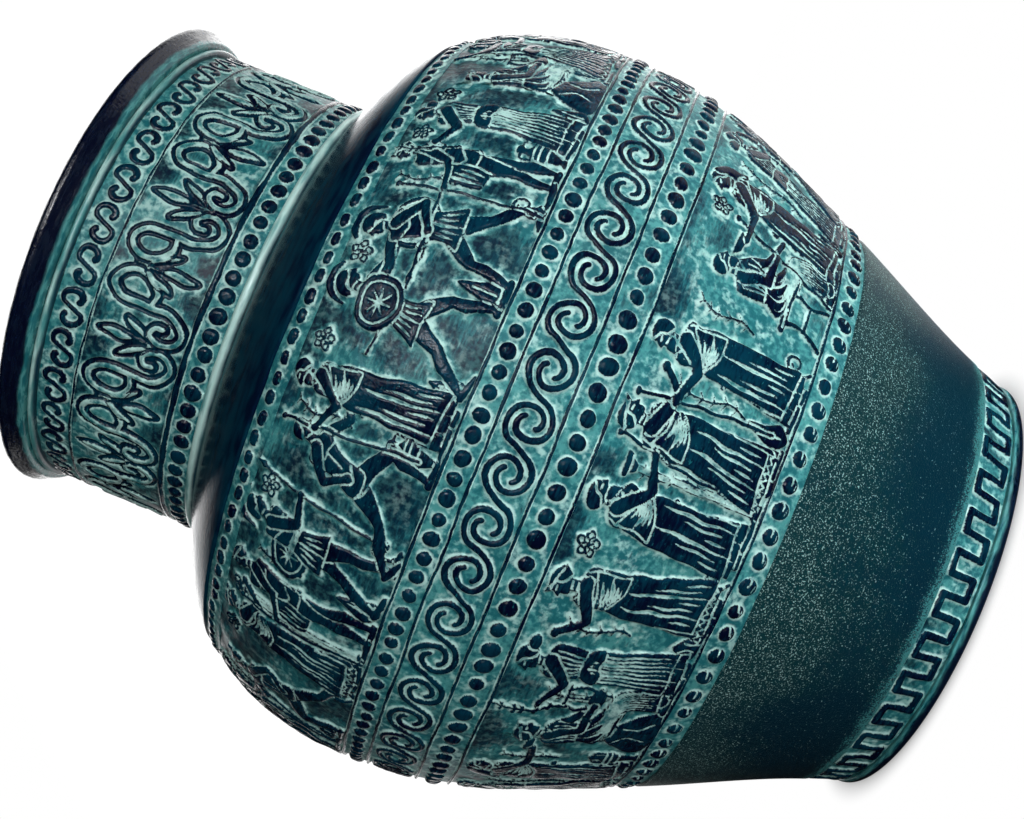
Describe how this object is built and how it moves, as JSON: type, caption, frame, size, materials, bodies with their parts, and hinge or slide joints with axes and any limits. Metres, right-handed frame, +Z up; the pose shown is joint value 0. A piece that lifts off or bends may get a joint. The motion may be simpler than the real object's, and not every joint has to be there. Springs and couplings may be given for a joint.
{
  "type": "relief pithos",
  "caption": "Wide-bellied, flat-based storage jar of fired clay with an open neck, a flaring lip and applied bands of moulded relief, glazed dark over pale blue-green.",
  "frame": {"origin": "centre of the foot ring's resting face", "axes": "+Z up along the jar's axis, towards the mouth; -Y faces the camera"},
  "size_m": [0.237, 0.237, 0.28],
  "materials": {
    "dark_glaze": "near-black navy glaze, glossy",
    "shoulder_glaze": "dark teal glaze, semi-gloss",
    "relief_glaze": "pale blue-green ground with dark raised relief, satin to glossy",
    "speckled_glaze": "dark green-teal with fine pale speckle, satin",
    "pale_glaze": "pale blue-green glaze, satin",
    "clay_body": "bare fired clay, matt"
  },
  "bodies": {
    "root": {"base_floor": "clay_body", "foot_ring": "dark_glaze", "lower_wall": "speckled_glaze", "belly_wall": "clay_body", "shoulder_wall": "clay_body", "shoulder_cove": "shoulder_glaze", "neck_wall": "clay_body", "rim_lip": "dark_glaze", "rim_fillet": "pale_glaze", "scroll_band": "relief_glaze", "scroll_cord": "dark_glaze", "vine_band": "relief_glaze", "vine_ground_cord": "dark_glaze", "neck_bead_row": "relief_glaze", "neck_ridge": "pale_glaze", "shoulder_bead_row": "relief_glaze", "upper_figure_frieze": "relief_glaze", "upper_ground_cord": "dark_glaze", "upper_belly_bead_row": "relief_glaze", "spiral_upper_cord": "dark_glaze", "spiral_band": "relief_glaze", "spiral_lower_cord": "dark_glaze", "lower_belly_bead_row": "relief_glaze", "lower_frieze_top_cord": "dark_glaze", "lower_figure_frieze": "relief_glaze", "lower_ground_cord": "dark_glaze", "base_bead_row": "relief_glaze", "meander_band": "relief_glaze"}
  },
  "joints": []
}
